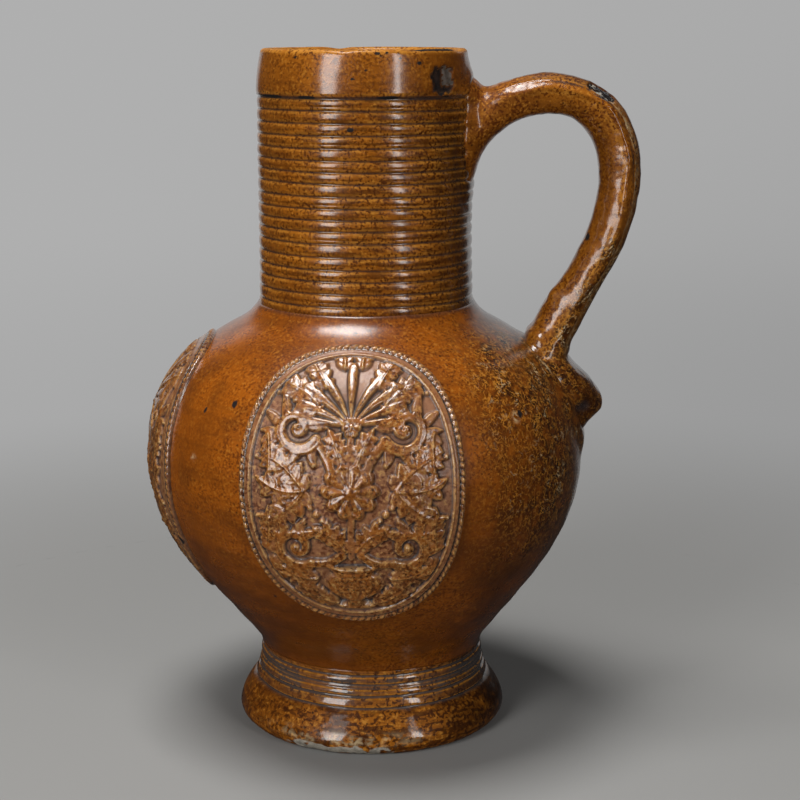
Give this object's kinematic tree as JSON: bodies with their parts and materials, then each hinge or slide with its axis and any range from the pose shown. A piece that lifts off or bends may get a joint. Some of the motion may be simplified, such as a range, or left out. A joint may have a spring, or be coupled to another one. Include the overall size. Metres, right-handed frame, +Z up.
{
  "type": "wine jug",
  "caption": "Brown salt-glazed stoneware wine jug: ribbed neck, round belly, spreading foot, loop handle with a pinched lug, and applied oval relief medallions.",
  "frame": {"origin": "centre of the foot's flat underside, on the jug's axis", "axes": "+Z up along the jug's axis, +X towards the handle, -Y towards the front medallion"},
  "size_m": [0.1754, 0.1598, 0.2405],
  "materials": {
    "foot_glaze": "salt glaze, ochre and dark brown mottle, bare grey patches",
    "belly_glaze": "salt glaze, warm brown with fine dark speckle",
    "neck_glaze": "salt glaze, orange brown, darker in the grooves",
    "handle_glaze": "salt glaze, orange brown with pale runs",
    "medallion_glaze": "salt glaze, honey brown, dark in the hollows"
  },
  "bodies": {
    "root": {"foot": "foot_glaze", "belly": "belly_glaze", "neck": "neck_glaze", "handle": "handle_glaze", "medallion_front": "medallion_glaze", "medallion_opposite_handle": "medallion_glaze", "medallion_back": "medallion_glaze"}
  },
  "joints": []
}
